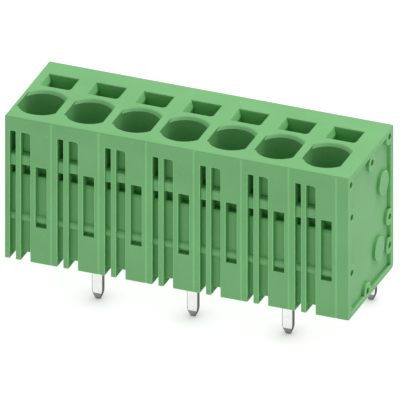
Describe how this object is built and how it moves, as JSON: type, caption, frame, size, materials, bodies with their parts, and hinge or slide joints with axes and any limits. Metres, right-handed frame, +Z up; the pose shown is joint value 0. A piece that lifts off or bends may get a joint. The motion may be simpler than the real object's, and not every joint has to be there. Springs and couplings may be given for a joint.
{
  "type": "pcb terminal block",
  "caption": "Green push-in spring clamp terminal block for a printed circuit board, with round conductor entries, driver openings, a slotted front and zigzag solder pins.",
  "frame": {"origin": "middle of the row's footprint on the plane of the circuit board, where the housings' feet sit", "axes": "+Z up away from the board, +X along the row towards the end cover, -Y out of the slotted front"},
  "size_m": [0.0542, 0.0182, 0.0289],
  "materials": {
    "housing_green": "moulded polyamide, fine satin texture",
    "tin_plate": "tin-plated copper alloy, semi-bright",
    "spring_steel": "rolled stainless strip"
  },
  "bodies": {
    "block": {"pole_housing_1": "housing_green", "pole_housing_2": "housing_green", "pole_housing_3": "housing_green", "pole_housing_4": "housing_green", "pole_housing_5": "housing_green", "pole_housing_6": "housing_green", "pole_housing_7": "housing_green", "end_cover": "housing_green", "current_bar_1": "tin_plate", "current_bar_2": "tin_plate", "current_bar_3": "tin_plate", "current_bar_4": "tin_plate", "current_bar_5": "tin_plate", "current_bar_6": "tin_plate", "current_bar_7": "tin_plate"},
    "spring_1": {"clamp_spring_1": "spring_steel"},
    "spring_2": {"clamp_spring_2": "spring_steel"},
    "spring_3": {"clamp_spring_3": "spring_steel"},
    "spring_4": {"clamp_spring_4": "spring_steel"},
    "spring_5": {"clamp_spring_5": "spring_steel"},
    "spring_6": {"clamp_spring_6": "spring_steel"},
    "spring_7": {"clamp_spring_7": "spring_steel"}
  },
  "joints": [
    {"name": "clamp_open_1", "type": "hinge", "parent": "block", "child": "spring_1", "pos_m": [-0.02412, 0.00539, 0.0158], "axis": [1, 0, 0], "range_deg": [0, 24], "stiffness_Nm_per_rad": 0.6, "springref_deg": -14.32, "deforming": ["clamp_spring_1"]},
    {"name": "clamp_open_2", "type": "hinge", "parent": "block", "child": "spring_2", "pos_m": [-0.01662, 0.00539, 0.0158], "axis": [1, 0, 0], "range_deg": [0, 24], "stiffness_Nm_per_rad": 0.6, "springref_deg": -14.32, "deforming": ["clamp_spring_2"]},
    {"name": "clamp_open_3", "type": "hinge", "parent": "block", "child": "spring_3", "pos_m": [-0.00912, 0.00539, 0.0158], "axis": [1, 0, 0], "range_deg": [0, 24], "stiffness_Nm_per_rad": 0.6, "springref_deg": -14.32, "deforming": ["clamp_spring_3"]},
    {"name": "clamp_open_4", "type": "hinge", "parent": "block", "child": "spring_4", "pos_m": [-0.00162, 0.00539, 0.0158], "axis": [1, 0, 0], "range_deg": [0, 24], "stiffness_Nm_per_rad": 0.6, "springref_deg": -14.32, "deforming": ["clamp_spring_4"]},
    {"name": "clamp_open_5", "type": "hinge", "parent": "block", "child": "spring_5", "pos_m": [0.00588, 0.00539, 0.0158], "axis": [1, 0, 0], "range_deg": [0, 24], "stiffness_Nm_per_rad": 0.6, "springref_deg": -14.32, "deforming": ["clamp_spring_5"]},
    {"name": "clamp_open_6", "type": "hinge", "parent": "block", "child": "spring_6", "pos_m": [0.01338, 0.00539, 0.0158], "axis": [1, 0, 0], "range_deg": [0, 24], "stiffness_Nm_per_rad": 0.6, "springref_deg": -14.32, "deforming": ["clamp_spring_6"]},
    {"name": "clamp_open_7", "type": "hinge", "parent": "block", "child": "spring_7", "pos_m": [0.02088, 0.00539, 0.0158], "axis": [1, 0, 0], "range_deg": [0, 24], "stiffness_Nm_per_rad": 0.6, "springref_deg": -14.32, "deforming": ["clamp_spring_7"]}
  ]
}
